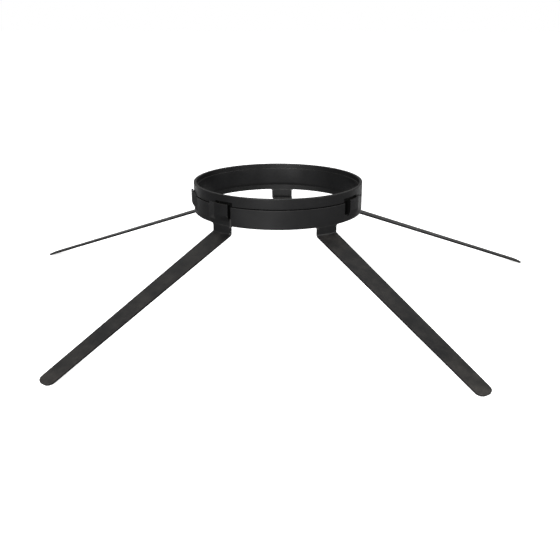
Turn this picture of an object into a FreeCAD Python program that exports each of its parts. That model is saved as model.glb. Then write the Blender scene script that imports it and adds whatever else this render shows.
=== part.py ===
"""Low five-legged ground stand with a lift-off collar ring.

The stand carries something round on a seat inside its collar.  A short base ring has five flat
strap legs butt-welded to its lower edge.  Each leg drops straight down from the ring, bends once
and runs out to a rounded foot.  The collar is a separate ring: its spigot drops inside the base
ring, and four keys on the spigot slide down into four pockets and stand on their floors, so a
narrow gap stays between the collar's flange and the base ring.  A pocket is a tongue of the base
ring's wall pushed outward: free at its top and along one upright edge, where a slot is left, and
ramped back into the wall along the other edge.

Frame: millimetres, +Z up, origin on the ring's axis at the level of the collar's seat ledge.
Azimuths are measured from -Y (the front) towards +X (the right), so the back leg points to +Y.
"""

import FreeCAD, Part
import math
import os

V = FreeCAD.Vector
Z_AXIS = V(0, 0, 1)
ORIGIN = V(0, 0, 0)

# ---------------------------------------------------------------- driving dimensions (mm, degrees)
sheet = 2.0                     # wall of the base ring, the tongues and the legs
outer_radius = 100.0            # outside of the collar and of the base ring

# collar
rim_wall = 3.3                  # wall of the rim above the seat
seat_depth = 5.5                # rim top down to the seat ledge
seat_width = 1.2                # width of the ledge that the carried object rests on
flange_height = 11.7            # rim top down to the underside of the flange
spigot_reach = 27.5             # rim top down to the lower end of the spigot
bore_depth = 24.0               # rim top down to where the spigot's bore starts to open out
mouth_width = 1.6               # how far it has opened out at the lower end
spigot_clearance = 0.25         # radial gap between the spigot and the base ring
rim_round = 0.7                 # rounding of the rim's top edges
spigot_round = 0.4              # rounding of the spigot's lower outer edge
small_round = 0.4               # rounding of the other sheet edges
joint_chamfer = 0.3             # chamfers along the gap between collar and base ring

# base ring
joint_gap = 1.2                 # gap between the flange and the base ring's top edge
ring_reach = 34.1               # rim top down to the base ring's lower edge

# tongues, keys and the openings around them
key_axis = 12.7                 # azimuth that the pockets are laid out about
inner_turn = 47.5               # from that axis to the two pockets nearest it
left_turn = 90.7                # from that axis to the last pocket on the left
right_turn = 95.0               # and to the last pocket on the right
tongue_angle = 11.0             # angle that a tongue spans at its full offset
tongue_offset = 3.1             # how far a tongue is pushed out of the wall
tongue_top_depth = 9.7          # rim top down to a tongue's free end
joggle_start = 22.8             # rim top down to where a tongue starts to bend back to the wall
joggle_end = 29.2               # rim top down to where it has met the wall
joggle_round = 4.0              # rounding of that bend
closed_angle = 1.3              # angle of solid wall that closes a pocket at its ramped side
ramp_angle = 8.0                # angle over which that side runs back into the ring's wall
window_depth = 26.2             # rim top down to the floor of the window behind a tongue
slot_on_left = 3.4              # angle of the slot beside a tongue that is free on its left
slot_on_right = 1.2             # angle of the slot beside a tongue that is free on its right
notch_top_depth = 7.4           # rim top down to the top of the notch in the flange
notch_margin = 1.2              # angle by which a notch is wider than the slot
notch_slack = 0.3               # angle by which it passes the tongue at the ramped side
key_angle = 8.4                 # angle that a key spans
key_gap = 0.3                   # gap between a key and the back of its tongue
key_root = 0.5                  # how far a key runs into the spigot
key_top_depth = 10.5            # rim top down to the upper end of a key
key_rest = 0.1                  # gap drawn between a key's lower end and the window's floor
lip_gap = 0.3                   # how far a ramp's upper lip stands off the flange
cut_clearance = 1.0             # how far a cutting solid passes the surface it opens

# legs
leg_names = ("leg_front_right", "leg_right", "leg_back", "leg_left", "leg_front_left")
first_leg_azimuth = 36.0
bend_depth = 43.5               # rim top down to the bend, on the outside of the ring
leg_slope = 19.96               # fall of the sloping stretch below the horizontal
foot_reach = 341.4              # ring axis out to the end of a foot, on its upper face
root_width = 26.5               # strap width at the ring and at the bend
foot_width = 18.7               # strap width at the foot
foot_corner = 7.0               # rounded corners of a foot
root_flare = 2.0                # small rounds where a strap meets the ring
flare_land = 0.2                # edge left at the end of those rounds
inner_bend = 1.5                # bend radius on the upper face; the underside adds the sheet
strap_overlap = 18.0            # how far the sloping stretch is drawn past the bend before trimming
wall_sector = 40.0              # sector of the ring's wall that an upright stretch is cut from
core_sector = 90.0              # sector of the space inside the ring that is kept clear of straps
crease_share = 0.9              # a crease edge spans more than this share of the strap's width
crease_reach = 6.0              # and lies this near the bend's height
tolerance = 0.01                # and this near its radius

# ---------------------------------------------------------------- derived sizes
rim_top = seat_depth                                    # the seat ledge is at height zero
seat_radius = outer_radius - rim_wall
bore_radius = seat_radius - seat_width
wall_inside = outer_radius - sheet
spigot_radius = wall_inside - spigot_clearance
flange_bottom = rim_top - flange_height
spigot_bottom = rim_top - spigot_reach
bore_end = rim_top - bore_depth
ring_top = flange_bottom - joint_gap
ring_bottom = rim_top - ring_reach
window_bottom = rim_top - window_depth
tongue_outside = outer_radius + tongue_offset
tongue_inside = tongue_outside - sheet
tongue_top = rim_top - tongue_top_depth
joggle_high = rim_top - joggle_start
joggle_low = rim_top - joggle_end
bend_height = rim_top - bend_depth

# each pocket's azimuth and its free side: 1 is towards larger azimuths (right), -1 the other way
pockets = (
    (key_axis - left_turn, -1),
    (key_axis - inner_turn, 1),
    (key_axis + inner_turn, -1),
    (key_axis + right_turn, 1),
)
slope = math.radians(leg_slope)
foot_run = (foot_reach - outer_radius) / math.cos(slope)    # sloping length from bend to foot end


# ---------------------------------------------------------------- shape helpers
def rounded_face(corners, place):
    """A flat face through the corners (u, v, radius), each rounded by its own radius.

    place turns (u, v) into a point in space.
    """
    runs = []
    for i, (u, v, radius) in enumerate(corners):
        here = V(u, v, 0)
        if radius == 0:
            runs.append([here])
            continue
        before = (V(corners[i - 1][0], corners[i - 1][1], 0) - here).normalize()
        after_u, after_v, _ = corners[(i + 1) % len(corners)]
        after = (V(after_u, after_v, 0) - here).normalize()
        half_angle = before.getAngle(after) / 2
        inward = (before + after).normalize()
        trim = radius / math.tan(half_angle)
        middle = here + inward * (radius / math.sin(half_angle) - radius)
        runs.append([here + before * trim, middle, here + after * trim])
    edges = []
    for i, run in enumerate(runs):
        points = [place(p.x, p.y) for p in run]
        last = place(runs[i - 1][-1].x, runs[i - 1][-1].y)
        if last.distanceToPoint(points[0]) > 1e-6:
            edges.append(Part.makeLine(last, points[0]))
        if len(points) == 3:
            edges.append(Part.Arc(*points).toShape())
    return Part.Face(Part.Wire(edges))


def section(radius, height):
    """A point of a section drawn in the plane that holds the ring's axis and the front."""
    return V(0, -radius, height)


def turned(corners, azimuth=0.0, angle=360.0):
    """A section (radius, height, rounding) turned about the ring's axis, centred on azimuth."""
    solid = rounded_face(corners, section).revolve(ORIGIN, Z_AXIS, angle)
    solid.rotate(ORIGIN, Z_AXIS, azimuth - (angle / 2 if angle < 360 else 0))
    return solid


def block(inner, outer, low, high, azimuth, angle):
    """A piece of a ring between two radii, two heights and either side of an azimuth."""
    corners = [(inner, low, 0), (outer, low, 0), (outer, high, 0), (inner, high, 0)]
    return turned(corners, azimuth, angle)


def sector(inner, outer, low, high, start, end):
    """A piece of a ring between two radii, two heights and two azimuths given in either order."""
    return block(inner, outer, low, high, (start + end) / 2, abs(end - start))


def free_edge(azimuth, side, extra=0.0):
    """Azimuth of a tongue's free edge, or of a line that lies extra beyond it."""
    return azimuth + side * (tongue_angle / 2 + extra)


def ramped_edge(azimuth, side, extra=0.0):
    """Azimuth where a tongue's full offset ends at its ramped side, or extra beyond it."""
    return azimuth - side * (tongue_angle / 2 + extra)


def slot_angle(side):
    """Angle of the slot beside a tongue's free edge."""
    return slot_on_right if side > 0 else slot_on_left


def on_circle(radius, azimuth, height):
    """A point at a radius, azimuth and height."""
    angle = math.radians(azimuth)
    return V(radius * math.sin(angle), -radius * math.cos(angle), height)


# ---------------------------------------------------------------- collar
def notch(azimuth, side):
    """The opening cut in the flange's lower edge above a pocket."""
    start = ramped_edge(azimuth, side, notch_slack)
    end = free_edge(azimuth, side, slot_angle(side) + notch_margin)
    low = flange_bottom - cut_clearance
    high = rim_top - notch_top_depth
    return sector(spigot_radius, outer_radius + cut_clearance, low, high, start, end)


def key(azimuth, side):
    """A block on the outside of the spigot that slides down into a pocket."""
    inside = spigot_radius - key_root
    outside = tongue_inside - key_gap
    foot = outer_radius - key_gap
    low = window_bottom + key_rest
    high = rim_top - key_top_depth
    corners = [
        (inside, low, 0),
        (foot, low, 0),
        (outside, joggle_high, 0),
        (outside, high, small_round),
        (inside, high, 0),
    ]
    return turned(corners, azimuth + side * closed_angle / 2, key_angle)


def collar_ring():
    """Rim, seat ledge, flange and spigot, with a notch and a key at every pocket."""
    chamfer_up = flange_bottom + joint_chamfer
    chamfer_in = outer_radius - joint_chamfer
    ring = turned([
        (bore_radius, bore_end, 0),
        (bore_radius + mouth_width, spigot_bottom, 0),
        (spigot_radius, spigot_bottom, spigot_round),
        (spigot_radius, flange_bottom, 0),
        (chamfer_in, flange_bottom, 0),
        (outer_radius, chamfer_up, 0),
        (outer_radius, rim_top, rim_round),
        (seat_radius, rim_top, rim_round),
        (seat_radius, 0, 0),
        (bore_radius, 0, small_round),
    ])
    for azimuth, side in pockets:
        ring = ring.cut(notch(azimuth, side))
    for azimuth, side in pockets:
        ring = ring.fuse(key(azimuth, side))
    return ring.removeSplitter()


# ---------------------------------------------------------------- base ring
def tongue(azimuth, side):
    """The open part of a pocket: a tongue with room for the key behind it."""
    corners = [
        (tongue_inside, tongue_top, small_round),
        (tongue_outside, tongue_top, small_round),
        (tongue_outside, joggle_high, joggle_round),
        (outer_radius, joggle_low, 0),
        (wall_inside, joggle_low, 0),
        (wall_inside, window_bottom, 0),
        (outer_radius, window_bottom, 0),
        (tongue_inside, joggle_high, 0),
    ]
    return turned(corners, azimuth + side * closed_angle / 2, tongue_angle - closed_angle)


def ramp(azimuth, side):
    """The solid side of a pocket, running back into the ring's wall along a flat facet."""
    lip = outer_radius + lip_gap
    corners = [
        (wall_inside, joggle_low, 0),
        (outer_radius, joggle_low, 0),
        (tongue_outside, joggle_high, joggle_round),
        (tongue_outside, tongue_top, small_round),
        (lip, tongue_top, 0),
        (lip, ring_top, 0),
        (wall_inside, ring_top, 0),
    ]
    start = ramped_edge(azimuth, side, -closed_angle)
    end = ramped_edge(azimuth, side, ramp_angle)
    solid = turned(corners, (start + end) / 2, abs(end - start))
    high_end = on_circle(tongue_outside, ramped_edge(azimuth, side), joggle_low)
    low_end = on_circle(outer_radius, end, joggle_low)
    along = low_end - high_end
    outward = on_circle(sheet + tongue_offset, end, 0)
    inner_line = (high_end - along, low_end + along)
    corners = [inner_line[0], inner_line[1], inner_line[1] + outward * 2, inner_line[0] + outward * 2]
    waste = Part.Face(Part.makePolygon(corners + corners[:1]))
    return solid.cut(waste.extrude(V(0, 0, rim_top - joggle_low)))


def window(azimuth, side):
    """The opening in the wall behind a tongue, with the slot beside the tongue's free edge."""
    start = ramped_edge(azimuth, side, -closed_angle)
    end = free_edge(azimuth, side, slot_angle(side))
    inner = wall_inside - cut_clearance
    outer = outer_radius + cut_clearance
    return sector(inner, outer, window_bottom, ring_top + cut_clearance, start, end)


def base_ring():
    """Short ring with four windows open at its top edge and a pocket standing outside each."""
    chamfer_down = ring_top - joint_chamfer
    chamfer_in = outer_radius - joint_chamfer
    ring = turned([
        (wall_inside, ring_bottom, 0),
        (outer_radius, ring_bottom, 0),
        (outer_radius, chamfer_down, 0),
        (chamfer_in, ring_top, 0),
        (wall_inside, ring_top, 0),
    ])
    for azimuth, side in pockets:
        ring = ring.cut(window(azimuth, side))
    for azimuth, side in pockets:
        ring = ring.fuse(tongue(azimuth, side).fuse(ramp(azimuth, side)))
    return ring.removeSplitter()


# ---------------------------------------------------------------- legs
def strap_frame():
    """Placement of the sloping stretch: X runs down the slope, Z is its upper face's normal."""
    bend = V(outer_radius, 0, bend_height)
    return FreeCAD.Placement(bend, FreeCAD.Rotation(V(0, 1, 0), leg_slope))


def sloping_strap():
    """The tapering stretch from inside the bend out to the rounded foot."""
    root = root_width / 2
    foot = foot_width / 2
    outline = [
        (-strap_overlap, -root, 0),
        (0, -root, 0),
        (foot_run, -foot, foot_corner),
        (foot_run, foot, foot_corner),
        (0, root, 0),
        (-strap_overlap, root, 0),
    ]
    plate = rounded_face(outline, lambda u, v: V(u, v, -sheet)).extrude(V(0, 0, sheet))
    plate.Placement = strap_frame()
    return plate


def upright_strap():
    """The stretch below the ring, curved like the ring's wall and flared into its edge."""
    root = root_width / 2
    flare = root + root_flare + flare_land
    flare_low = ring_bottom - flare_land
    low = bend_height - root
    outline = [
        (-flare, ring_bottom, 0),
        (-flare, flare_low, 0),
        (-root, flare_low, root_flare),
        (-root, low, 0),
        (root, low, 0),
        (root, flare_low, root_flare),
        (flare, flare_low, 0),
        (flare, ring_bottom, 0),
    ]
    panel = rounded_face(outline, lambda u, v: V(0, u, v)).extrude(V(2 * outer_radius, 0, 0))
    wall = block(wall_inside, outer_radius, low, ring_bottom, 90, wall_sector)
    return panel.common(wall)


def leg(azimuth):
    """One strap leg, built pointing along +X and turned to its azimuth."""
    reach = 2 * outer_radius
    below = Part.makeBox(reach, reach, reach, V(-reach / 2, -reach / 2, -reach - sheet))
    below.Placement = strap_frame()
    core = block(wall_inside / 2, wall_inside, -reach, rim_top, 90, core_sector)
    upright = upright_strap().cut(below)
    strap = sloping_strap().cut(core)
    body = upright.fuse(strap).removeSplitter()
    body = rounded_bend(body)
    body.rotate(ORIGIN, Z_AXIS, azimuth - 90)
    return body


def rounded_bend(body):
    """Round the bend's two creases: the upper one inside the corner, the lower one outside it."""
    for radius, wanted in ((inner_bend, outer_radius), (inner_bend + sheet, wall_inside)):
        creases = []
        for edge in body.Edges:
            middle = edge.valueAt((edge.FirstParameter + edge.LastParameter) / 2)
            across = edge.BoundBox.YLength > crease_share * root_width
            at_bend = abs(middle.z - bend_height) < crease_reach
            if across and at_bend and abs(math.hypot(middle.x, middle.y) - wanted) < tolerance:
                creases.append(edge)
        body = body.makeFillet(radius, creases)
    return body


# ---------------------------------------------------------------- write the pieces
def build():
    pieces = {"collar_ring": collar_ring(), "base_ring": base_ring()}
    for k, name in enumerate(leg_names):
        pieces[name] = leg(first_leg_azimuth + 72 * k)
    return pieces


os.makedirs("parts", exist_ok=True)
for node, shape in build().items():
    box = shape.BoundBox
    print(f"{node}: {len(shape.Solids)} solid, valid {shape.isValid()}, {shape.Volume:.0f} mm3, "
          f"z {box.ZMin:.1f} to {box.ZMax:.1f}")
    shape.Solids[0].exportStep(f"parts/{node}.step")
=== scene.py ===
"""Looks for the low five-legged ground stand with its lift-off collar ring.

Metres, +Z up, origin on the ring's axis at the seat ledge.  Azimuths are in degrees from -Y (the
front) towards +X (the right).
"""
import bmesh
import bpy
import math
from mathutils import Matrix, Vector


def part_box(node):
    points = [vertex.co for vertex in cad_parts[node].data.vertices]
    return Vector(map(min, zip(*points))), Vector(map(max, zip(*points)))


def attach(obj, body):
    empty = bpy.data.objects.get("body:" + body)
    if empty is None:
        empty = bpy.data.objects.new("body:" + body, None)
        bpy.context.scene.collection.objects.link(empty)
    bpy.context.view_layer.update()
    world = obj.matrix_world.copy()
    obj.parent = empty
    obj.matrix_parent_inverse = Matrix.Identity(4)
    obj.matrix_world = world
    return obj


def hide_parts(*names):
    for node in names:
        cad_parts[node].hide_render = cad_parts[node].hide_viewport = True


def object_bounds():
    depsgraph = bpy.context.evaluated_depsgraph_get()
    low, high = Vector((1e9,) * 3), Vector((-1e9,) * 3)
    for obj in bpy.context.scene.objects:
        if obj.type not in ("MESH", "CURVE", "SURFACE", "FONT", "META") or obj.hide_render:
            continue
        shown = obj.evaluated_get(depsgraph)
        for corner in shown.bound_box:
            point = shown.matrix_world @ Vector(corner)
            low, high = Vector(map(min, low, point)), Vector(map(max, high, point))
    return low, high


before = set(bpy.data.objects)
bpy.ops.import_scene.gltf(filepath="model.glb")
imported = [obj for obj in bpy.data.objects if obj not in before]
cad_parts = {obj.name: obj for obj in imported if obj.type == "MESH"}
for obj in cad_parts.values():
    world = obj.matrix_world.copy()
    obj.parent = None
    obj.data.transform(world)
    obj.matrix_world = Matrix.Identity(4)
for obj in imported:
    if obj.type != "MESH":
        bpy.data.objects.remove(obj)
cad_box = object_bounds()

MM = 0.001

# ------------------------------------------------------------------ sizes, as in the CAD (mm)
SHEET = 2.0
OUTER = 100.0
RIM_TOP = 5.5
SEAT_RADIUS = 96.7
BORE_RADIUS = 95.5
SPIGOT_RADIUS = 97.75
WALL_INSIDE = 98.0
FLANGE_BOTTOM = -6.2
SPIGOT_BOTTOM = -22.0
BORE_END = -18.5
MOUTH_WIDTH = 1.6
RING_TOP = -7.4
RING_BOTTOM = -28.6
JOINT_CHAMFER = 0.3
RIM_ROUND = 0.7
SPIGOT_ROUND = 0.4
SMALL_ROUND = 0.4

KEY_AXIS = 12.7
INNER_TURN = 47.5
LEFT_TURN = 90.7
RIGHT_TURN = 95.0
POCKETS = (
    (KEY_AXIS - LEFT_TURN, -1),
    (KEY_AXIS - INNER_TURN, 1),
    (KEY_AXIS + INNER_TURN, -1),
    (KEY_AXIS + RIGHT_TURN, 1),
)
TONGUE_ANGLE = 11.0
TONGUE_OFFSET = 3.1
TONGUE_TOP = RIM_TOP - 9.7
JOGGLE_HIGH = RIM_TOP - 22.8
JOGGLE_LOW = RIM_TOP - 29.2
JOGGLE_ROUND = 4.0
CLOSED_ANGLE = 1.3
RAMP_ANGLE = 8.0
WINDOW_BOTTOM = RIM_TOP - 26.2
SLOT_ON_LEFT = 3.4
SLOT_ON_RIGHT = 1.2
NOTCH_TOP = RIM_TOP - 7.4
NOTCH_MARGIN = 1.2
NOTCH_SLACK = 0.3
KEY_ANGLE = 8.4
KEY_GAP = 0.3
KEY_ROOT = 0.5
KEY_HIGH = RIM_TOP - 10.5
KEY_LOW = WINDOW_BOTTOM + 0.1
LIP_GAP = 0.3
SUNK = 0.15                     # how far a ramp's end dips below the wall, to meet it cleanly
CUT_CLEARANCE = 1.0

LEG_NAMES = ("leg_front_right", "leg_right", "leg_back", "leg_left", "leg_front_left")
FIRST_LEG_AZIMUTH = 36.0
LEG_SPACING = 72.0
BEND_HEIGHT = RIM_TOP - 43.5
LEG_SLOPE = 19.96
FOOT_REACH = 341.4
ROOT_WIDTH = 26.5
FOOT_WIDTH = 18.7
FOOT_CORNER = 7.0
ROOT_FLARE = 2.0
FLARE_LAND = 0.2
INNER_BEND = 1.5

# ------------------------------------------------------------------ how fine the meshes are
RING_STEPS = 360                # facets round a whole ring
POCKET_STEP = 0.5               # degrees of a facet on tongues, keys and cutters
ARC_STEP = math.radians(16)     # turn of one facet on a rounded corner
ARC_FACETS = 3                  # a rounded corner has at least this many
SEAM_MERGE = 0.005              # a turned section closes where points are this near (mm)
MERGE = 0.002                   # anywhere else, points this near are one point (mm)

STRAP_FACETS = 14               # across a strap
FLARE_FACETS = 4
UPRIGHT_FACETS = 4
BEND_FACETS = 7
NEAR_FACETS = 5                 # the slope's first stations lie close together ...
NEAR_STEP = 4.0
NEAR_RUN = 24.0                 # ... up to this far from the bend
RUN_FACETS = 16
FOOT_FACETS = 9
HUG_RUN = 22.0                  # the wall's curve fades out of the strap over this run

EDGE_BEVEL = 0.28               # powder coat rounds every cut edge by about this (mm)
EDGE_ANGLE = math.radians(38)   # an edge that turns more than this is a cut edge
SHARP_ANGLE = math.radians(50)
FLAT_LEAD = 90                  # how strongly large faces decide the shading of small ones
NARROW_FACE = 0.85              # faces narrower than this (mm) may belong to a rounded edge
SLIGHT_TURN = math.radians(5)   # if they also turn from their neighbour by more than this
FULL_TURN = math.radians(20)


# ------------------------------------------------------------------ node helpers
class Wiring:
    """Adds nodes to a tree and joins them in one call each."""

    def __init__(self, tree):
        self.tree = tree

    def node(self, kind, inputs=None, **settings):
        made = self.tree.nodes.new(kind)
        for key, value in settings.items():
            setattr(made, key, value)
        for key, value in (inputs or {}).items():
            self.feed(made.inputs[key], value)
        return made

    def feed(self, socket, value):
        if isinstance(value, bpy.types.NodeSocket):
            self.tree.links.new(value, socket)
        else:
            socket.default_value = value

    def maths(self, operation, first, second=None, third=None):
        given = {0: first}
        if second is not None:
            given[1] = second
        if third is not None:
            given[2] = third
        return self.node("ShaderNodeMath", given, operation=operation).outputs[0]


def new_tree(name, kind, inputs, outputs):
    """A node group with named inputs (name, type, default) and outputs (name, type)."""
    tree = bpy.data.node_groups.new(name, kind)
    for label, socket_type, default in inputs:
        socket = tree.interface.new_socket(label, in_out="INPUT", socket_type=socket_type)
        if default is not None:
            socket.default_value = default
    for label, socket_type in outputs:
        tree.interface.new_socket(label, in_out="OUTPUT", socket_type=socket_type)
    wiring = Wiring(tree)
    return tree, wiring, wiring.node("NodeGroupInput").outputs, wiring.node("NodeGroupOutput").inputs


def grow(name, seed_mesh, tree, values):
    """The plain mesh that a Geometry Nodes tree makes from a seed mesh and named values."""
    seed = bpy.data.objects.new(name, seed_mesh)
    bpy.context.scene.collection.objects.link(seed)
    modifier = seed.modifiers.new("grow", "NODES")
    modifier.node_group = tree
    for item in tree.interface.items_tree:
        if item.item_type == "SOCKET" and item.in_out == "INPUT" and item.name in values:
            modifier[item.identifier] = values[item.name]
    mesh = flatten(seed)
    mesh.name = name
    return mesh


def flatten(obj):
    """Evaluate an object with its modifiers into a plain mesh, and remove the object."""
    bpy.context.view_layer.update()
    graph = bpy.context.evaluated_depsgraph_get()
    mesh = bpy.data.meshes.new_from_object(obj.evaluated_get(graph), depsgraph=graph)
    seed_mesh = obj.data
    bpy.data.objects.remove(obj)
    bpy.data.meshes.remove(seed_mesh)
    return mesh


# ------------------------------------------------------------------ Geometry Nodes trees
def turned_section_tree():
    """Turns a flat section (radius, height) about the ring's axis, with caps on a partial turn."""
    tree, w, given, result = new_tree("turned_section", "GeometryNodeTree", [
        ("Section", "NodeSocketGeometry", None),
        ("Start", "NodeSocketFloat", 0.0),
        ("Sweep", "NodeSocketFloat", 360.0),
        ("Steps", "NodeSocketInt", 90),
        ("Capped", "NodeSocketBool", False),
        ("Finish", "NodeSocketMaterial", None),
    ], [("Solid", "NodeSocketGeometry")])
    size = w.node("GeometryNodeAttributeDomainSize", {"Geometry": given["Section"]}, component="MESH")
    corners = size.outputs["Point Count"]
    around = w.maths("ADD", given["Steps"], 1.0)
    along = w.maths("ADD", corners, 1.0)
    grid = w.node("GeometryNodeMeshGrid", {
        "Size X": 1.0, "Size Y": 1.0, "Vertices X": around, "Vertices Y": along})
    place = w.node("ShaderNodeSeparateXYZ", {0: w.node("GeometryNodeInputPosition").outputs[0]})
    turn = w.maths("ADD", place.outputs[0], 0.5)
    step = w.maths("ROUND", w.maths("MULTIPLY", w.maths("ADD", place.outputs[1], 0.5), corners))
    index = w.maths("MODULO", step, corners)
    position = w.node("GeometryNodeInputPosition").outputs[0]
    corner = w.node("GeometryNodeSampleIndex", {"Geometry": given["Section"], "Value": position,
                                                "Index": index}, data_type="FLOAT_VECTOR")
    wall = w.node("GeometryNodeSetPosition", {
        "Geometry": grid.outputs["Mesh"],
        "Position": on_section(w, corner.outputs[0], azimuth_at(w, given, turn))})
    caps = []
    for turn_value in (0.0, 1.0):
        cap = w.node("GeometryNodeSetPosition", {
            "Geometry": given["Section"],
            "Position": on_section(w, position, azimuth_at(w, given, turn_value))})
        caps.append(cap.outputs["Geometry"])
    flipped = w.node("GeometryNodeFlipFaces", {0: caps[0]}).outputs[0]
    both_caps = w.node("GeometryNodeJoinGeometry")
    w.feed(both_caps.inputs[0], flipped)
    w.feed(both_caps.inputs[0], caps[1])
    chosen = w.node("GeometryNodeSwitch", {"Switch": given["Capped"], "True": both_caps.outputs[0]},
                    input_type="GEOMETRY")
    whole = w.node("GeometryNodeJoinGeometry")
    w.feed(whole.inputs[0], wall.outputs["Geometry"])
    w.feed(whole.inputs[0], chosen.outputs[0])
    closed = w.node("GeometryNodeMergeByDistance", {0: whole.outputs[0], "Distance": SEAM_MERGE * MM})
    finish(w, closed.outputs[0], given["Finish"], result)
    return tree


def azimuth_at(w, given, turn):
    """Azimuth in radians at a share of the sweep."""
    degrees = w.maths("MULTIPLY_ADD", given["Sweep"], turn, given["Start"])
    return w.maths("RADIANS", degrees)


def on_section(w, corner, angle):
    """Where a section's corner (radius, height) lands at an azimuth."""
    flat = w.node("ShaderNodeSeparateXYZ", {0: corner})
    right = w.maths("MULTIPLY", flat.outputs[0], w.maths("SINE", angle))
    back = w.maths("MULTIPLY", flat.outputs[0], w.maths("COSINE", angle))
    back = w.maths("MULTIPLY", back, -1.0)
    return w.node("ShaderNodeCombineXYZ", {0: right, 1: back, 2: flat.outputs[1]}).outputs[0]


def strap_leg_tree():
    """Lays a strap along its stations, hugging the ring's wall at its root, at one azimuth."""
    tree, w, given, result = new_tree("strap_leg", "GeometryNodeTree", [
        ("Stations", "NodeSocketGeometry", None),
        ("Azimuth", "NodeSocketFloat", 0.0),
        ("Wall Radius", "NodeSocketFloat", OUTER * MM),
        ("Fall", "NodeSocketFloat", math.tan(math.radians(LEG_SLOPE))),
        ("Across", "NodeSocketInt", 12),
        ("Finish", "NodeSocketMaterial", None),
    ], [("Strap", "NodeSocketGeometry")])
    size = w.node("GeometryNodeAttributeDomainSize", {"Geometry": given["Stations"]}, component="MESH")
    stations = size.outputs["Point Count"]
    grid = w.node("GeometryNodeMeshGrid", {
        "Size X": 1.0, "Size Y": 1.0, "Vertices X": stations,
        "Vertices Y": w.maths("ADD", given["Across"], 1.0)})
    place = w.node("ShaderNodeSeparateXYZ", {0: w.node("GeometryNodeInputPosition").outputs[0]})
    last = w.maths("SUBTRACT", stations, 1.0)
    index = w.maths("ROUND", w.maths("MULTIPLY", w.maths("ADD", place.outputs[0], 0.5), last))
    position = w.node("GeometryNodeInputPosition").outputs[0]
    station = w.node("GeometryNodeSampleIndex", {"Geometry": given["Stations"], "Value": position,
                                                 "Index": index}, data_type="FLOAT_VECTOR")
    drawn = w.node("ShaderNodeSeparateXYZ", {0: station.outputs[0]})

    def at_station(label):
        stored = w.node("GeometryNodeInputNamedAttribute", {"Name": label}, data_type="FLOAT")
        return w.node("GeometryNodeSampleIndex", {"Geometry": given["Stations"],
                      "Value": stored.outputs[0], "Index": index}, data_type="FLOAT").outputs[0]

    across = w.maths("MULTIPLY", w.maths("MULTIPLY", place.outputs[1], 2.0), at_station("half_width"))
    radius = given["Wall Radius"]
    inside = w.maths("SUBTRACT", w.maths("MULTIPLY", radius, radius), w.maths("MULTIPLY", across, across))
    sag = w.maths("SUBTRACT", radius, w.maths("SQRT", inside))
    out = w.maths("SUBTRACT", drawn.outputs[0], w.maths("MULTIPLY", at_station("hug"), sag))
    rise = w.maths("MULTIPLY", w.maths("MULTIPLY", at_station("ride"), sag), given["Fall"])
    up = w.maths("ADD", drawn.outputs[1], rise)
    angle = w.maths("RADIANS", given["Azimuth"])
    sine = w.maths("SINE", angle)
    cosine = w.maths("COSINE", angle)
    right = w.maths("ADD", w.maths("MULTIPLY", out, sine), w.maths("MULTIPLY", across, cosine))
    back = w.maths("SUBTRACT", w.maths("MULTIPLY", across, sine), w.maths("MULTIPLY", out, cosine))
    target = w.node("ShaderNodeCombineXYZ", {0: right, 1: back, 2: up}).outputs[0]
    laid = w.node("GeometryNodeSetPosition", {"Geometry": grid.outputs["Mesh"], "Position": target})
    finish(w, laid.outputs["Geometry"], given["Finish"], result)
    return tree


def finish(w, geometry, material, result):
    """The end of every tree: real geometry with its material."""
    real = w.node("GeometryNodeRealizeInstances", {0: geometry}).outputs[0]
    coated = w.node("GeometryNodeSetMaterial", {"Geometry": real, "Material": material}).outputs[0]
    w.feed(result[0], coated)


# ------------------------------------------------------------------ sections and solids
def rounded(corners):
    """Points of a closed outline (u, v, radius) in mm, with each radius drawn as a short arc."""
    points = []
    count = len(corners)
    for i, (u, v, radius) in enumerate(corners):
        here = Vector((u, v))
        if radius == 0:
            points.append(here)
            continue
        before = (Vector(corners[i - 1][:2]) - here).normalized()
        after = (Vector(corners[(i + 1) % count][:2]) - here).normalized()
        half = before.angle(after) / 2
        centre = here + (before + after).normalized() * (radius / math.sin(half))
        trim = radius / math.tan(half)
        first = here + before * trim - centre
        last = here + after * trim - centre
        turn = math.pi - 2 * half
        if first.x * last.y - first.y * last.x < 0:
            turn = -turn
        pieces = max(ARC_FACETS, round(abs(turn) / ARC_STEP))
        for k in range(pieces + 1):
            points.append(centre + Matrix.Rotation(turn * k / pieces, 2) @ first)
    return points


def section_mesh(corners):
    """A flat face in the radius and height plane, ready to be turned."""
    points = [(p.x * MM, p.y * MM, 0.0) for p in rounded(corners)]
    mesh = bpy.data.meshes.new("section")
    mesh.from_pydata(points, [], [list(range(len(points)))])
    return mesh


def turned(name, corners, start=0.0, end=360.0, coat=None):
    """A section turned from one azimuth to another as a plain closed mesh; cutters need no coat."""
    whole = abs(end - start) >= 360
    low, high = min(start, end), max(start, end)
    steps = RING_STEPS if whole else max(2, round((high - low) / POCKET_STEP))
    values = {"Start": float(low), "Sweep": float(high - low), "Steps": steps, "Capped": not whole}
    if coat:
        values["Finish"] = coat
    mesh = grow(name, section_mesh(corners), TURNED, values)
    tidy_faces(mesh)
    return mesh


def tidy_faces(mesh):
    """Merge what coincides and point every face outwards."""
    work = bmesh.new()
    work.from_mesh(mesh)
    bmesh.ops.remove_doubles(work, verts=work.verts, dist=MERGE * MM)
    bmesh.ops.recalc_face_normals(work, faces=work.faces)
    work.to_mesh(mesh)
    work.free()


def sector(name, inner, outer, low, high, start, end):
    """A plain block between two radii, two heights and two azimuths."""
    corners = [(inner, low, 0), (outer, low, 0), (outer, high, 0), (inner, high, 0)]
    return turned(name, corners, start, end)


def free_edge(azimuth, side, extra=0.0):
    """Azimuth of a tongue's free edge, or of a line further out from it."""
    return azimuth + side * (TONGUE_ANGLE / 2 + extra)


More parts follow.
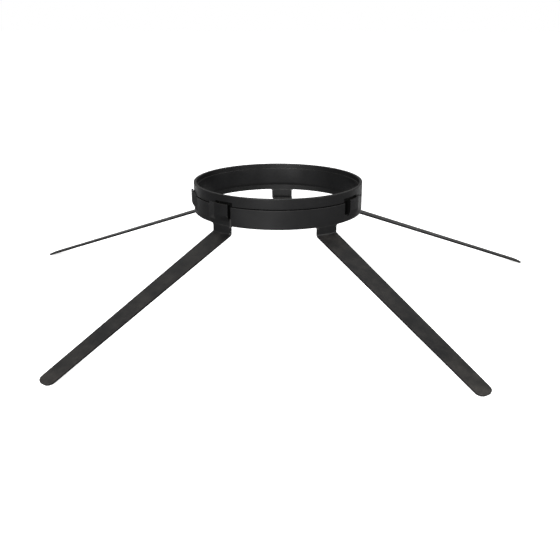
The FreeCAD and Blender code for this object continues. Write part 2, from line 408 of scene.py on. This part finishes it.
def ramped_edge(azimuth, side, extra=0.0):
    """Azimuth where a tongue's ramp begins, or of a line further along it."""
    return azimuth - side * (TONGUE_ANGLE / 2 + extra)


def slot_angle(side):
    """How wide the slot beside a tongue's free edge is."""
    return SLOT_ON_RIGHT if side > 0 else SLOT_ON_LEFT


def on_circle(radius, azimuth, height=0.0):
    """The point at a radius, azimuth and height."""
    angle = math.radians(azimuth)
    return Vector((radius * math.sin(angle), -radius * math.cos(angle), height))


def combined(mesh, cutters, operation):
    """Take meshes out of a mesh (DIFFERENCE) or weld them onto it (UNION)."""
    body = bpy.data.objects.new("body", mesh)
    bpy.context.scene.collection.objects.link(body)
    tools = []
    for cutter in cutters:
        tool = bpy.data.objects.new("cutter", cutter)
        bpy.context.scene.collection.objects.link(tool)
        tools.append(tool)
        modifier = body.modifiers.new("cut", "BOOLEAN")
        modifier.operation = operation
        modifier.solver = "EXACT"
        modifier.object = tool
    result = flatten(body)
    for tool in tools:
        data = tool.data
        bpy.data.objects.remove(tool)
        bpy.data.meshes.remove(data)
    tidy_faces(result)
    return result


# ------------------------------------------------------------------ the two rings
def collar_mesh(coat):
    """Rim, seat, flange and spigot as one turned ring, notched for the tongues and given its keys."""
    ring = turned("collar", [
        (BORE_RADIUS, BORE_END, 0),
        (BORE_RADIUS + MOUTH_WIDTH, SPIGOT_BOTTOM, 0),
        (SPIGOT_RADIUS, SPIGOT_BOTTOM, SPIGOT_ROUND),
        (SPIGOT_RADIUS, FLANGE_BOTTOM, 0),
        (OUTER - JOINT_CHAMFER, FLANGE_BOTTOM, 0),
        (OUTER, FLANGE_BOTTOM + JOINT_CHAMFER, 0),
        (OUTER, RIM_TOP, RIM_ROUND),
        (SEAT_RADIUS, RIM_TOP, RIM_ROUND),
        (SEAT_RADIUS, 0, 0),
        (BORE_RADIUS, 0, SMALL_ROUND),
    ], coat=coat)
    notches = []
    keys = []
    for azimuth, side in POCKETS:
        start = ramped_edge(azimuth, side, NOTCH_SLACK)
        end = free_edge(azimuth, side, slot_angle(side) + NOTCH_MARGIN)
        notches.append(sector("notch", SPIGOT_RADIUS, OUTER + CUT_CLEARANCE,
                              FLANGE_BOTTOM - CUT_CLEARANCE, NOTCH_TOP, start, end))
        middle = azimuth + side * CLOSED_ANGLE / 2
        outside = OUTER + TONGUE_OFFSET - SHEET - KEY_GAP
        corners = [
            (SPIGOT_RADIUS - KEY_ROOT, KEY_LOW, 0),
            (OUTER - KEY_GAP, KEY_LOW, 0),
            (outside, JOGGLE_HIGH, 0),
            (outside, KEY_HIGH, SMALL_ROUND),
            (SPIGOT_RADIUS - KEY_ROOT, KEY_HIGH, 0),
        ]
        keys.append(turned("key", corners, middle - KEY_ANGLE / 2, middle + KEY_ANGLE / 2))
    return combined(combined(ring, notches, "DIFFERENCE"), keys, "UNION")


def base_ring_mesh(coat):
    """The plain lower ring with four pockets pushed out of its wall."""
    ring = turned("base", [
        (WALL_INSIDE, RING_BOTTOM, 0),
        (OUTER, RING_BOTTOM, 0),
        (OUTER, RING_TOP - JOINT_CHAMFER, 0),
        (OUTER - JOINT_CHAMFER, RING_TOP, 0),
        (WALL_INSIDE, RING_TOP, 0),
    ], coat=coat)
    bumps = []
    hollows = []
    for azimuth, side in POCKETS:
        bumps.append(bump_mesh(azimuth, side))
        hollows.append(hollow_mesh(azimuth, side))
    return combined(combined(ring, bumps, "UNION"), hollows, "DIFFERENCE")


def bump_mesh(azimuth, side):
    """A pocket as one solid: full height from its free edge, then run back into the wall."""
    outside = OUTER + TONGUE_OFFSET
    lip = OUTER + LIP_GAP
    root = WALL_INSIDE + SHEET / 2
    corners = [
        (root, JOGGLE_LOW, 0),
        (OUTER, JOGGLE_LOW, 0),
        (outside, JOGGLE_HIGH, JOGGLE_ROUND),
        (outside, TONGUE_TOP, SMALL_ROUND),
        (lip, TONGUE_TOP, 0),
        (lip, RING_TOP - SHEET / 2, 0),
        (root, RING_TOP - SHEET / 2, 0),
    ]
    end = ramped_edge(azimuth, side, RAMP_ANGLE)
    solid = turned("bump", corners, free_edge(azimuth, side), end)
    return combined(solid, [beyond_ramp_mesh(azimuth, side)], "DIFFERENCE")


def beyond_ramp_mesh(azimuth, side):
    """What lies outside the flat facet that runs from a pocket's full height back to the wall."""
    end = ramped_edge(azimuth, side, RAMP_ANGLE)
    high_end = on_circle(OUTER + TONGUE_OFFSET, ramped_edge(azimuth, side))
    low_end = on_circle(OUTER - SUNK, end)
    along = low_end - high_end
    outward = on_circle(2 * (SHEET + TONGUE_OFFSET), end)
    line = [high_end - along, low_end + along]
    foot = [line[0], line[1], line[1] + outward, line[0] + outward]
    points = []
    for height in (JOGGLE_LOW - CUT_CLEARANCE, RIM_TOP):
        points += [(p + Vector((0, 0, height))) * MM for p in foot]
    faces = [(0, 1, 2, 3), (4, 5, 6, 7), (0, 1, 5, 4), (1, 2, 6, 5), (2, 3, 7, 6), (3, 0, 4, 7)]
    mesh = bpy.data.meshes.new("beyond_ramp")
    mesh.from_pydata(points, [], faces)
    tidy_faces(mesh)
    return mesh


def hollow_mesh(azimuth, side):
    """The space behind a tongue for the key, and the slot beside the tongue's free edge."""
    inside = OUTER + TONGUE_OFFSET - SHEET
    corners = [
        (WALL_INSIDE - CUT_CLEARANCE, WINDOW_BOTTOM, 0),
        (OUTER, WINDOW_BOTTOM, 0),
        (inside, JOGGLE_HIGH, 0),
        (inside, TONGUE_TOP + CUT_CLEARANCE, 0),
        (WALL_INSIDE - CUT_CLEARANCE, TONGUE_TOP + CUT_CLEARANCE, 0),
    ]
    start = ramped_edge(azimuth, side, -CLOSED_ANGLE)
    return turned("hollow", corners, start, free_edge(azimuth, side, slot_angle(side)))


# ------------------------------------------------------------------ the legs
def leg_stations():
    """Stations down a strap's outer face: (out, up), half width, hug of the wall and ride on it."""
    slope = math.radians(LEG_SLOPE)
    run = (FOOT_REACH - OUTER) / math.cos(slope)
    root = ROOT_WIDTH / 2
    foot = FOOT_WIDTH / 2
    turn = math.pi / 2 - slope
    trim = INNER_BEND * math.tan(turn / 2)
    drop = RING_BOTTOM - BEND_HEIGHT
    rows = []

    def upright(up, half):
        rows.append((OUTER, up, half, 1.0, (RING_BOTTOM - up) / drop))

    flare_low = RING_BOTTOM - FLARE_LAND - ROOT_FLARE
    upright(RING_BOTTOM, root + ROOT_FLARE)
    for k in range(FLARE_FACETS + 1):
        angle = math.pi / 2 * k / FLARE_FACETS
        up = flare_low + ROOT_FLARE * math.cos(angle)
        upright(up, root + ROOT_FLARE * (1 - math.sin(angle)))
    for k in range(1, UPRIGHT_FACETS + 1):
        upright(flare_low + (BEND_HEIGHT + trim - flare_low) * k / UPRIGHT_FACETS, root)
    centre_out = OUTER + INNER_BEND
    centre_up = BEND_HEIGHT + trim
    for k in range(1, BEND_FACETS + 1):
        angle = turn * k / BEND_FACETS
        rows.append((centre_out - INNER_BEND * math.cos(angle),
                     centre_up - INNER_BEND * math.sin(angle), root, 1.0, 1.0))
    straight = run - FOOT_CORNER
    lengths = [trim + NEAR_STEP * k for k in range(1, NEAR_FACETS + 1)]
    lengths += [NEAR_RUN + (straight - NEAR_RUN) * k / RUN_FACETS for k in range(1, RUN_FACETS + 1)]
    for k in range(1, FOOT_FACETS + 1):
        lengths.append(straight + FOOT_CORNER * math.sin(math.pi / 2 * k / FOOT_FACETS))
    for length in lengths:
        half = root + (foot - root) * length / run
        past = length - straight
        if past > 0:
            half += math.sqrt(max(0.0, FOOT_CORNER ** 2 - past ** 2)) - FOOT_CORNER
        hug = max(0.0, 1 - length / HUG_RUN)
        rows.append((OUTER + length * math.cos(slope), BEND_HEIGHT - length * math.sin(slope),
                     half, hug, hug))
    return rows


def stations_mesh():
    """The stations as a chain of points that carry their widths with them."""
    rows = leg_stations()
    mesh = bpy.data.meshes.new("stations")
    mesh.from_pydata([(row[0] * MM, row[1] * MM, 0.0) for row in rows],
                     [(k, k + 1) for k in range(len(rows) - 1)], [])
    for label, column, scale in (("half_width", 2, MM), ("hug", 3, 1.0), ("ride", 4, 1.0)):
        layer = mesh.attributes.new(label, "FLOAT", "POINT")
        for k, row in enumerate(rows):
            layer.data[k].value = row[column] * scale
    return mesh


def leg_mesh(azimuth, coat):
    """A strap's outer face from the tree, given the sheet's thickness."""
    face = grow("strap", stations_mesh(), STRAP, {
        "Azimuth": float(azimuth), "Across": STRAP_FACETS, "Finish": coat})
    work = bmesh.new()
    work.from_mesh(face)
    probe = on_circle(2 * OUTER * MM, azimuth, BEND_HEIGHT * MM)
    sample = min(work.faces, key=lambda f: (f.calc_center_median() - probe).length)
    sample.normal_update()
    if sample.normal.z < 0:
        bmesh.ops.reverse_faces(work, faces=work.faces)
    work.to_mesh(face)
    work.free()
    strap = bpy.data.objects.new("strap", face)
    bpy.context.scene.collection.objects.link(strap)
    thick = strap.modifiers.new("thickness", "SOLIDIFY")
    thick.thickness = SHEET * MM
    thick.offset = -1.0
    thick.use_even_offset = True
    mesh = flatten(strap)
    tidy_faces(mesh)
    return mesh


# ------------------------------------------------------------------ shared surface groups
SPECKLE_SHARE = 0.35            # height of the fine speckle beside the orange peel
HANDLED_SIZE = 22.0             # slow patches where hands have been more, or less
HANDLED_SHARE = 0.8
WEAR_START = 0.78               # the wear shows where edge and noise together pass this
WEAR_CONTRAST = 5.0
DUST_TILT = (0.35, 1.0)         # dust starts to lie, and lies fully, on faces that look this much up
CLOUD_SIZE = 60.0
MOTE_SIZE = 1600.0
MOTE_RAMP = (0.2, 0.42)


def coat_grain_group():
    """Orange-peel skin of a baked powder coat, with slow uneven patches."""
    tree, w, given, result = new_tree("coat_grain", "ShaderNodeTree", [
        ("Peel Size", "NodeSocketFloat", 900.0),
        ("Speckle Size", "NodeSocketFloat", 4200.0),
        ("Patch Size", "NodeSocketFloat", 28.0),
    ], [("Height", "NodeSocketFloat"), ("Speckle", "NodeSocketFloat"), ("Patches", "NodeSocketFloat")])
    place = w.node("ShaderNodeTexCoord").outputs["Object"]
    peel = w.node("ShaderNodeTexNoise", {"Vector": place, "Scale": given["Peel Size"], "Detail": 2.0,
                                         "Roughness": 0.45})
    speckle = w.node("ShaderNodeTexNoise", {"Vector": place, "Scale": given["Speckle Size"],
                                            "Detail": 1.0, "Roughness": 0.6})
    patches = w.node("ShaderNodeTexNoise", {"Vector": place, "Scale": given["Patch Size"],
                                            "Detail": 3.0, "Roughness": 0.6})
    height = w.maths("MULTIPLY_ADD", speckle.outputs[0], SPECKLE_SHARE, peel.outputs[0])
    w.feed(result["Height"], height)
    w.feed(result["Speckle"], speckle.outputs[0])
    w.feed(result["Patches"], patches.outputs[0])
    return tree


def edge_wear_and_highlight_group():
    """Wear where handling has thinned the coat along edges, broken up by noise; and an even lightening of
    every rounded edge, partly rub wear and partly a painted highlight.
    """
    tree, w, given, result = new_tree("edge_wear_and_highlight", "ShaderNodeTree", [
        ("Edge", "NodeSocketFloat", 0.0),
        ("Amount", "NodeSocketFloat", 0.5),
        ("Break Size", "NodeSocketFloat", 160.0),
    ], [("Wear", "NodeSocketFloat"), ("Rub and Highlight", "NodeSocketFloat")])
    place = w.node("ShaderNodeTexCoord").outputs["Object"]
    breaks = w.node("ShaderNodeTexNoise", {"Vector": place, "Scale": given["Break Size"],
                                           "Detail": 4.0, "Roughness": 0.65})
    slow = w.node("ShaderNodeTexNoise", {"Vector": place, "Scale": HANDLED_SIZE, "Detail": 1.0})
    handled = w.maths("MULTIPLY_ADD", slow.outputs[0], HANDLED_SHARE, 0.2)
    mixed = w.maths("MULTIPLY", given["Edge"], handled)
    past = w.maths("SUBTRACT", breaks.outputs[0], WEAR_START)
    raw = w.maths("MULTIPLY", w.maths("ADD", mixed, past), WEAR_CONTRAST)
    worn = w.node("ShaderNodeMath", {0: raw, 1: given["Amount"]}, operation="MULTIPLY", use_clamp=True)
    w.feed(result["Wear"], worn.outputs[0])
    # an even lightening of every rounded edge: partly rub wear, partly a painted highlight
    w.feed(result["Rub and Highlight"], w.maths("MULTIPLY", given["Edge"], given["Amount"]))
    return tree


def dust_group():
    """Fine dust on what faces up, thicker near the ground."""
    tree, w, given, result = new_tree("settled_dust", "ShaderNodeTree", [
        ("Amount", "NodeSocketFloat", 0.3),
        ("Ground Height", "NodeSocketFloat", 0.0),
        ("Splash Height", "NodeSocketFloat", 0.03),
    ], [("Dust", "NodeSocketFloat"), ("Splash", "NodeSocketFloat")])
    place = w.node("ShaderNodeTexCoord").outputs["Object"]
    up = w.node("ShaderNodeSeparateXYZ", {0: w.node("ShaderNodeNewGeometry").outputs["Normal"]})
    facing = w.node("ShaderNodeMapRange", {"Value": up.outputs[2], "From Min": DUST_TILT[0],
                                           "From Max": DUST_TILT[1]})
    clouds = w.node("ShaderNodeTexNoise", {"Vector": place, "Scale": CLOUD_SIZE, "Detail": 5.0,
                                           "Roughness": 0.7})
    motes = w.node("ShaderNodeTexNoise", {"Vector": place, "Scale": MOTE_SIZE, "Detail": 1.0})
    mask = w.maths("MULTIPLY", clouds.outputs[0], motes.outputs[0])
    mask = w.node("ShaderNodeMapRange", {"Value": mask, "From Min": MOTE_RAMP[0],
                                         "From Max": MOTE_RAMP[1]}).outputs[0]
    dust = w.maths("MULTIPLY", w.maths("MULTIPLY", mask, facing.outputs[0]), given["Amount"])
    height = w.node("ShaderNodeSeparateXYZ", {0: place}).outputs[2]
    above = w.maths("SUBTRACT", height, given["Ground Height"])
    near = w.maths("SUBTRACT", 1.0, w.maths("DIVIDE", above, given["Splash Height"]))
    near = w.node("ShaderNodeClamp", {0: near}).outputs[0]
    w.feed(result["Dust"], dust)
    w.feed(result["Splash"], w.maths("MULTIPLY", near, clouds.outputs[0]))
    return tree


# ------------------------------------------------------------------ materials
COAT_TONE = (0.0036, 0.0036, 0.0038, 1.0)
# the worn tone, also the painted highlight on rounded edges
COAT_WORN_AND_HIGHLIGHT_TONE = (0.010, 0.010, 0.0105, 1.0)
# The painted shade: a near-black, dull tone for the joint, the slots and behind the tongues, where shade
# falls.
PAINTED_SHADE_TONE = (0.0006, 0.0006, 0.0006, 1.0)
PAINTED_SHADE_WORN_TONE = (0.002, 0.002, 0.002, 1.0)
COAT_SPECULAR = 0.26
# low specular that keeps the painted shade dark
PAINTED_SHADE_SPECULAR = 0.05
BARE_STEEL = (0.16, 0.155, 0.15, 1.0)
DUST_TONE = (0.11, 0.10, 0.088, 1.0)
RUB_AND_HIGHLIGHT = 0.55                   # how far a rounded edge goes towards the worn tone: rub wear and a painted edge highlight
UNEVEN = 0.22                   # and how far the slow patches do
PATCH_RAMP = (0.3, 0.7)
GLOSS_RAMP = (0.25, 0.75)
GLOSSIER = 0.05                 # the patches are this much glossier at one end of their ramp
DULLER = 0.07                   # and this much duller at the other
CHIP_METAL = 0.8
DUST_DULLS = 0.35
SPECKLE_DULLS = 0.08
PEEL_STRENGTH = 0.6
PEEL_DEPTH = 0.12               # mm


def blend(w, factor, first, second):
    """Goes from one colour to another by a factor."""
    mix = w.node("ShaderNodeMix", data_type="RGBA", blend_type="MIX")
    w.feed(mix.inputs["Factor"], factor)
    w.feed(mix.inputs[6], first)
    w.feed(mix.inputs[7], second)
    return mix.outputs[2]


def coat_material(name, wear, dust, splash, gloss, bare, tones=(COAT_TONE, COAT_WORN_AND_HIGHLIGHT_TONE),
                  specular=COAT_SPECULAR):
    """Black powder coat: rounded edges are lighter, partly wear and partly a painted highlight; bare lets
    steel through; dust settles on top.

    The gloss is the roughness of an even patch, so a higher value is duller.
    """
    material = bpy.data.materials.new(name)
    material.use_nodes = True
    tree = material.node_tree
    w = Wiring(tree)
    surface = tree.nodes["Principled BSDF"]
    surface.inputs["Specular IOR Level"].default_value = specular

    def group(source, values):
        made = w.node("ShaderNodeGroup", node_tree=source)
        for label, value in values.items():
            w.feed(made.inputs[label], value)
        return made.outputs

    edge = w.node("ShaderNodeAttribute", attribute_name="edge").outputs["Fac"]
    grain = group(GRAIN, {})
    worn = group(WEAR_AND_HIGHLIGHT, {"Edge": edge, "Amount": wear})
    settled = group(DUST, {"Amount": dust, "Ground Height": cad_box[0][2], "Splash Height": splash})
    # rounded edges go lighter: rub wear and a painted edge highlight
    tone = blend(w, w.maths("MULTIPLY", worn["Rub and Highlight"], RUB_AND_HIGHLIGHT), tones[0], tones[1])
    patch = w.node("ShaderNodeMapRange", {
        "Value": grain["Patches"], "From Min": PATCH_RAMP[0], "From Max": PATCH_RAMP[1],
        "To Min": 0.0, "To Max": UNEVEN})
    tone = blend(w, patch.outputs[0], tone, tones[1])
    chips = w.maths("MULTIPLY", worn["Wear"], bare)
    tone = blend(w, chips, tone, BARE_STEEL)
    veil = w.maths("MULTIPLY_ADD", settled["Splash"], dust, settled["Dust"])
    veil = w.node("ShaderNodeClamp", {0: veil}).outputs[0]
    tone = blend(w, veil, tone, DUST_TONE)
    w.feed(surface.inputs["Base Color"], tone)
    shine = w.node("ShaderNodeMapRange", {
        "Value": grain["Patches"], "From Min": GLOSS_RAMP[0], "From Max": GLOSS_RAMP[1],
        "To Min": gloss - GLOSSIER, "To Max": gloss + DULLER})
    speckle = w.maths("MULTIPLY_ADD", grain["Speckle"], SPECKLE_DULLS, -SPECKLE_DULLS / 2)
    shine = w.maths("ADD", shine.outputs[0], speckle)
    shine = w.maths("MULTIPLY_ADD", veil, DUST_DULLS, shine)
    shine = w.node("ShaderNodeClamp", {0: shine}).outputs[0]
    w.feed(surface.inputs["Roughness"], shine)
    w.feed(surface.inputs["Metallic"], w.maths("MULTIPLY", chips, CHIP_METAL))
    bump = w.node("ShaderNodeBump", {"Strength": PEEL_STRENGTH, "Distance": PEEL_DEPTH * MM,
                                     "Height": grain["Height"]})
    w.feed(surface.inputs["Normal"], bump.outputs[0])
    return material


# ------------------------------------------------------------------ finishing a piece
# What gets the painted shade: faces in the joint, the slots and behind the tongues, where shade falls.
# Lengths are in mm; the others are shares of a face's normal.
PAST_TONGUES = 1.0              # nothing further out than this past the tongues gets the painted shade
ABOVE_NOTCHES = 0.1             # nor anything higher than this above the notches
ROUND_THE_RING = 0.35           # faces that look this much round the ring: sides of slots and keys
FACING = 0.5                    # faces that look this much outwards, inwards, up or down
OFF_INSIDE_WALL = 0.5           # backs of tongues stand this far off the inside wall
UNDER_OUTSIDE_WALL = 0.8        # the spigot lies this far under the outside wall
KEY_BAND = (0.3, 2.5)           # fronts of keys lie between these heights over the outside wall
KEY_TURN = 0.05                 # and look at most this much round the ring
KEY_TILT = 0.1                  # or up
OFF_SPIGOT = 0.3
UNDER_RING_TOP = 0.4
BY_POCKET_FLOOR = 0.5
UNDER_TONGUE_TOP = 0.5


def mark_edges(mesh):
    """Store on every face whether it belongs to a rounded edge, and whether it gets the coat or the
    painted shade.
    """
    work = bmesh.new()
    work.from_mesh(mesh)
    bmesh.ops.remove_doubles(work, verts=work.verts, dist=MERGE * MM)
    bmesh.ops.dissolve_degenerate(work, edges=work.edges, dist=MERGE * MM)
    layer = work.faces.layers.float.new("edge")
    for face in work.faces:
        longest = max(edge.calc_length() for edge in face.edges)
        if face.calc_area() / longest > NARROW_FACE * MM:
            continue
        turn = max(edge.calc_face_angle(0.0) for edge in face.edges)
        face[layer] = max(0.0, min(1.0, (turn - SLIGHT_TURN) / FULL_TURN))
    # faces in the joint, the slots and behind the tongues take the painted shade in slot 1
    for face in work.faces:
        face.material_index = painted_shade_slot(face)
    work.to_mesh(mesh)
    work.free()


def painted_shade_slot(face):
    """Material slot 1, the painted shade, on faces of the joint, the slots and behind the tongues, where
    shade falls.
    """
    middle = face.calc_center_median() / MM
    radius = math.hypot(middle.x, middle.y)
    height = middle.z
    if radius > OUTER + TONGUE_OFFSET + PAST_TONGUES:
        return 0
    if height < JOGGLE_LOW or height > NOTCH_TOP + ABOVE_NOTCHES:
        return 0
    outward = Vector((middle.x, middle.y, 0)) / radius
    out = face.normal.dot(outward)
    along = abs(face.normal.cross(outward).z)
    level = abs(face.normal.z)
    if along > ROUND_THE_RING:
        return 1
    if out < -FACING and radius > WALL_INSIDE + OFF_INSIDE_WALL:
        return 1
    if out > FACING:
        in_band = OUTER + KEY_BAND[0] < radius < OUTER + KEY_BAND[1]
        key_front = in_band and along < KEY_TURN and level < KEY_TILT
        return int(radius < OUTER - UNDER_OUTSIDE_WALL or key_front)
    if level <= FACING or radius <= SPIGOT_RADIUS - OFF_SPIGOT or height >= TONGUE_TOP - UNDER_TONGUE_TOP:
        return 0
    return int(height > RING_TOP - UNDER_RING_TOP or abs(height - WINDOW_BOTTOM) < BY_POCKET_FLOOR)


def piece(name, mesh, body, node):
    """Round the cut edges, mark them for wear and the painted edge highlight, give the joint and slots
    the painted shade, and hand the piece over for its CAD node.
    """
    work = bpy.data.objects.new(name, mesh)
    bpy.context.scene.collection.objects.link(work)
    bevel = work.modifiers.new("edges", "BEVEL")
    bevel.width = EDGE_BEVEL * MM
    bevel.segments = 2
    bevel.limit_method = "ANGLE"
    bevel.angle_limit = EDGE_ANGLE
    bevel.use_clamp_overlap = True
    bevel.miter_outer = "MITER_ARC"
    done = flatten(work)
    coat = done.materials[-1]       # the tree's own, behind an empty slot
    done.materials.clear()
    done.materials.append(coat)
    # slot 1 is the painted shade for the joint, the slots and the backs of the tongues
    done.materials.append(painted_shade_coat)
    mark_edges(done)
    done.shade_smooth()
    done.set_sharp_from_angle(angle=SHARP_ANGLE)
    smooth = bpy.data.objects.new(name, done)
    bpy.context.scene.collection.objects.link(smooth)
    weighted = smooth.modifiers.new("flat faces lead", "WEIGHTED_NORMAL")
    weighted.keep_sharp = True
    weighted.weight = FLAT_LEAD
    obj = bpy.data.objects.new(name, flatten(smooth))
    bpy.context.scene.collection.objects.link(obj)
    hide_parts(node)
    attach(obj, body)


# ------------------------------------------------------------------ camera
CAMERA_AZIMUTH = 3.003          # degrees to the right of the front
CAMERA_DISTANCE = 0.8600        # from the ring's axis, along the floor
CAMERA_ABOVE_RIM = 0.1847
CAMERA_DOWN = 19.955            # tilt below the horizontal
CAMERA_HEADING = 2.840          # turned left of straight back
CAMERA_ROLL = -0.052
CAMERA_LENS = 47.02             # on a 36 mm wide square frame


def make_camera():
    """The camera in front of the stand and a little above it."""
    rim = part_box("collar_ring")[1][2]
    data = bpy.data.cameras.new("camera")
    data.sensor_width = 36.0
    data.lens = CAMERA_LENS
    data.clip_start = 0.02
    data.clip_end = 50.0
    cam = bpy.data.objects.new("camera", data)
    cam.location = on_circle(CAMERA_DISTANCE, CAMERA_AZIMUTH, rim + CAMERA_ABOVE_RIM)
    heading = Matrix.Rotation(math.radians(CAMERA_HEADING), 4, "Z")
    tilt = Matrix.Rotation(math.radians(90 - CAMERA_DOWN), 4, "X")
    roll = Matrix.Rotation(math.radians(-CAMERA_ROLL), 4, "Z")
    cam.rotation_mode = "QUATERNION"
    cam.rotation_quaternion = (heading @ tilt @ roll).to_quaternion()
    bpy.context.scene.collection.objects.link(cam)
    bpy.context.scene.camera = cam


# ------------------------------------------------------------------ studio
FLOOR_REACH = 14.0
FLOOR_TONE = (0.95, 0.95, 0.95, 1.0)    # what the floor looks like
FLOOR_LIFT = 0.75                       # glow that keeps its shadows faint
NEAR_BOUNCE = 0.15                      # how much light the floor throws back up at the front
FAR_BOUNCE = 0.9                        # and behind the stand
BOUNCE_RAMP = (0.24, 0.42)              # it changes between these distances behind the ring's axis
BACKDROP = 1.0
DIM_SKY = 0.06
TOP_SKY = 0.38
TOP_RAMP = (0.15, 0.85)                 # the top light comes in between these heights of the sky
BACK_SKY = 0.24
BACK_RAMP = (0.0, 0.8)                  # and the back light between these shares of straight back
SOFTBOX_DISTANCE = 2.2
# name, watts, width, height, azimuth, elevation
SOFTBOXES = (
    ("front_softbox", 100.0, 1.7, 0.7, -11.0, 20.0),
    ("right_softbox", 26.0, 1.2, 0.8, 66.0, 20.0),
)


def make_floor():
    """A plain pale floor that bounces less light than it shows."""
    low = cad_box[0][2]
    mesh = bpy.data.meshes.new("floor")
    reach = FLOOR_REACH
    corners = [(-reach, -reach, low), (reach, -reach, low), (reach, reach, low), (-reach, reach, low)]
    mesh.from_pydata(corners, [], [(0, 1, 2, 3)])
    floor = bpy.data.objects.new("floor", mesh)
    bpy.context.scene.collection.objects.link(floor)
    paper = bpy.data.materials.new("studio_paper")
    paper.use_nodes = True
    w = Wiring(paper.node_tree)
    paper.node_tree.nodes.remove(paper.node_tree.nodes["Principled BSDF"])
    shown = w.node("ShaderNodeBsdfDiffuse", {"Color": FLOOR_TONE}).outputs[0]
    glow = w.node("ShaderNodeEmission", {"Color": FLOOR_TONE, "Strength": FLOOR_LIFT}).outputs[0]
    place = w.node("ShaderNodeSeparateXYZ", {0: w.node("ShaderNodeTexCoord").outputs["Object"]})
    share = w.node("ShaderNodeMapRange", {
        "Value": place.outputs[1], "From Min": BOUNCE_RAMP[0], "From Max": BOUNCE_RAMP[1],
        "To Min": NEAR_BOUNCE, "To Max": FAR_BOUNCE}).outputs[0]
    bounce = w.node("ShaderNodeBsdfDiffuse", {"Color": share}).outputs[0]
    seen = w.node("ShaderNodeLightPath").outputs["Is Camera Ray"]
    bright = w.node("ShaderNodeAddShader", {0: shown, 1: glow}).outputs[0]
    mix = w.node("ShaderNodeMixShader", {0: seen, 1: bounce, 2: bright}).outputs[0]
    w.feed(paper.node_tree.nodes["Material Output"].inputs[0], mix)
    mesh.materials.append(paper)


def make_sky():
    """Soft light from above and behind, dim at the front and the sides; a plain pale backdrop."""
    world = bpy.data.worlds.new("studio")
    world.use_nodes = True
    w = Wiring(world.node_tree)
    direction = w.node("ShaderNodeSeparateXYZ", {0: w.node("ShaderNodeTexCoord").outputs["Generated"]})

    def eased(value, ramp):
        given = {"Value": value, "From Min": ramp[0], "From Max": ramp[1]}
        return w.node("ShaderNodeMapRange", given, interpolation_type="SMOOTHSTEP").outputs[0]

    top = eased(direction.outputs[2], TOP_RAMP)
    back = eased(direction.outputs[1], BACK_RAMP)
    light = w.maths("MULTIPLY_ADD", top, TOP_SKY, DIM_SKY)
    light = w.maths("MULTIPLY_ADD", back, BACK_SKY, light)
    seen = w.node("ShaderNodeLightPath").outputs["Is Camera Ray"]
    strength = w.node("ShaderNodeMix", data_type="FLOAT")
    w.feed(strength.inputs["Factor"], seen)
    w.feed(strength.inputs[2], light)
    strength.inputs[3].default_value = BACKDROP
    sky = world.node_tree.nodes["Background"]
    sky.inputs[0].default_value = (1, 1, 1, 1)
    w.feed(sky.inputs[1], strength.outputs[0])
    bpy.context.scene.world = world


def make_softbox(name, watts, width, height, azimuth, elevation):
    """A softbox at an azimuth and elevation, turned to the ring."""
    data = bpy.data.lights.new(name, "AREA")
    data.shape = "RECTANGLE"
    data.size = width
    data.size_y = height
    data.energy = watts
    light = bpy.data.objects.new(name, data)
    along = SOFTBOX_DISTANCE * math.cos(math.radians(elevation))
    up = SOFTBOX_DISTANCE * math.sin(math.radians(elevation))
    light.location = on_circle(along, azimuth, up)
    light.rotation_mode = "QUATERNION"
    light.rotation_quaternion = (-light.location).to_track_quat("-Z", "Y")
    bpy.context.scene.collection.objects.link(light)


def make_studio():
    """Floor, sky and softboxes, shown without any film curve."""
    make_floor()
    make_sky()
    for box in SOFTBOXES:
        make_softbox(*box)
    bpy.context.scene.view_settings.view_transform = "Standard"


# ------------------------------------------------------------------ put it together
make_camera()
TURNED = turned_section_tree()
STRAP = strap_leg_tree()
GRAIN = coat_grain_group()
WEAR_AND_HIGHLIGHT = edge_wear_and_highlight_group()
DUST = dust_group()
collar_coat = coat_material("collar_coat", wear=0.5, dust=0.12, splash=0.001, gloss=0.40, bare=0.12)
ring_coat = coat_material("base_ring_coat", wear=0.45, dust=0.12, splash=0.001, gloss=0.43, bare=0.12)
leg_coat = coat_material("leg_coat", wear=0.55, dust=0.22, splash=0.02, gloss=0.42, bare=0.25)
# painted shade: a near-black, dull coat laid on the joint, the slots and behind the tongues
painted_shade_coat = coat_material("painted_shade_in_the_joint", wear=0.2, dust=0.02, splash=0.001, gloss=0.72,
                          bare=0.05, tones=(PAINTED_SHADE_TONE, PAINTED_SHADE_WORN_TONE), specular=PAINTED_SHADE_SPECULAR)

piece("collar_piece", collar_mesh(collar_coat), "collar", "collar_ring")
piece("base_ring_piece", base_ring_mesh(ring_coat), "base", "base_ring")
for k, leg_name in enumerate(LEG_NAMES):
    leg_azimuth = FIRST_LEG_AZIMUTH + LEG_SPACING * k
    piece(leg_name + "_piece", leg_mesh(leg_azimuth, leg_coat), "base", leg_name)

make_studio()
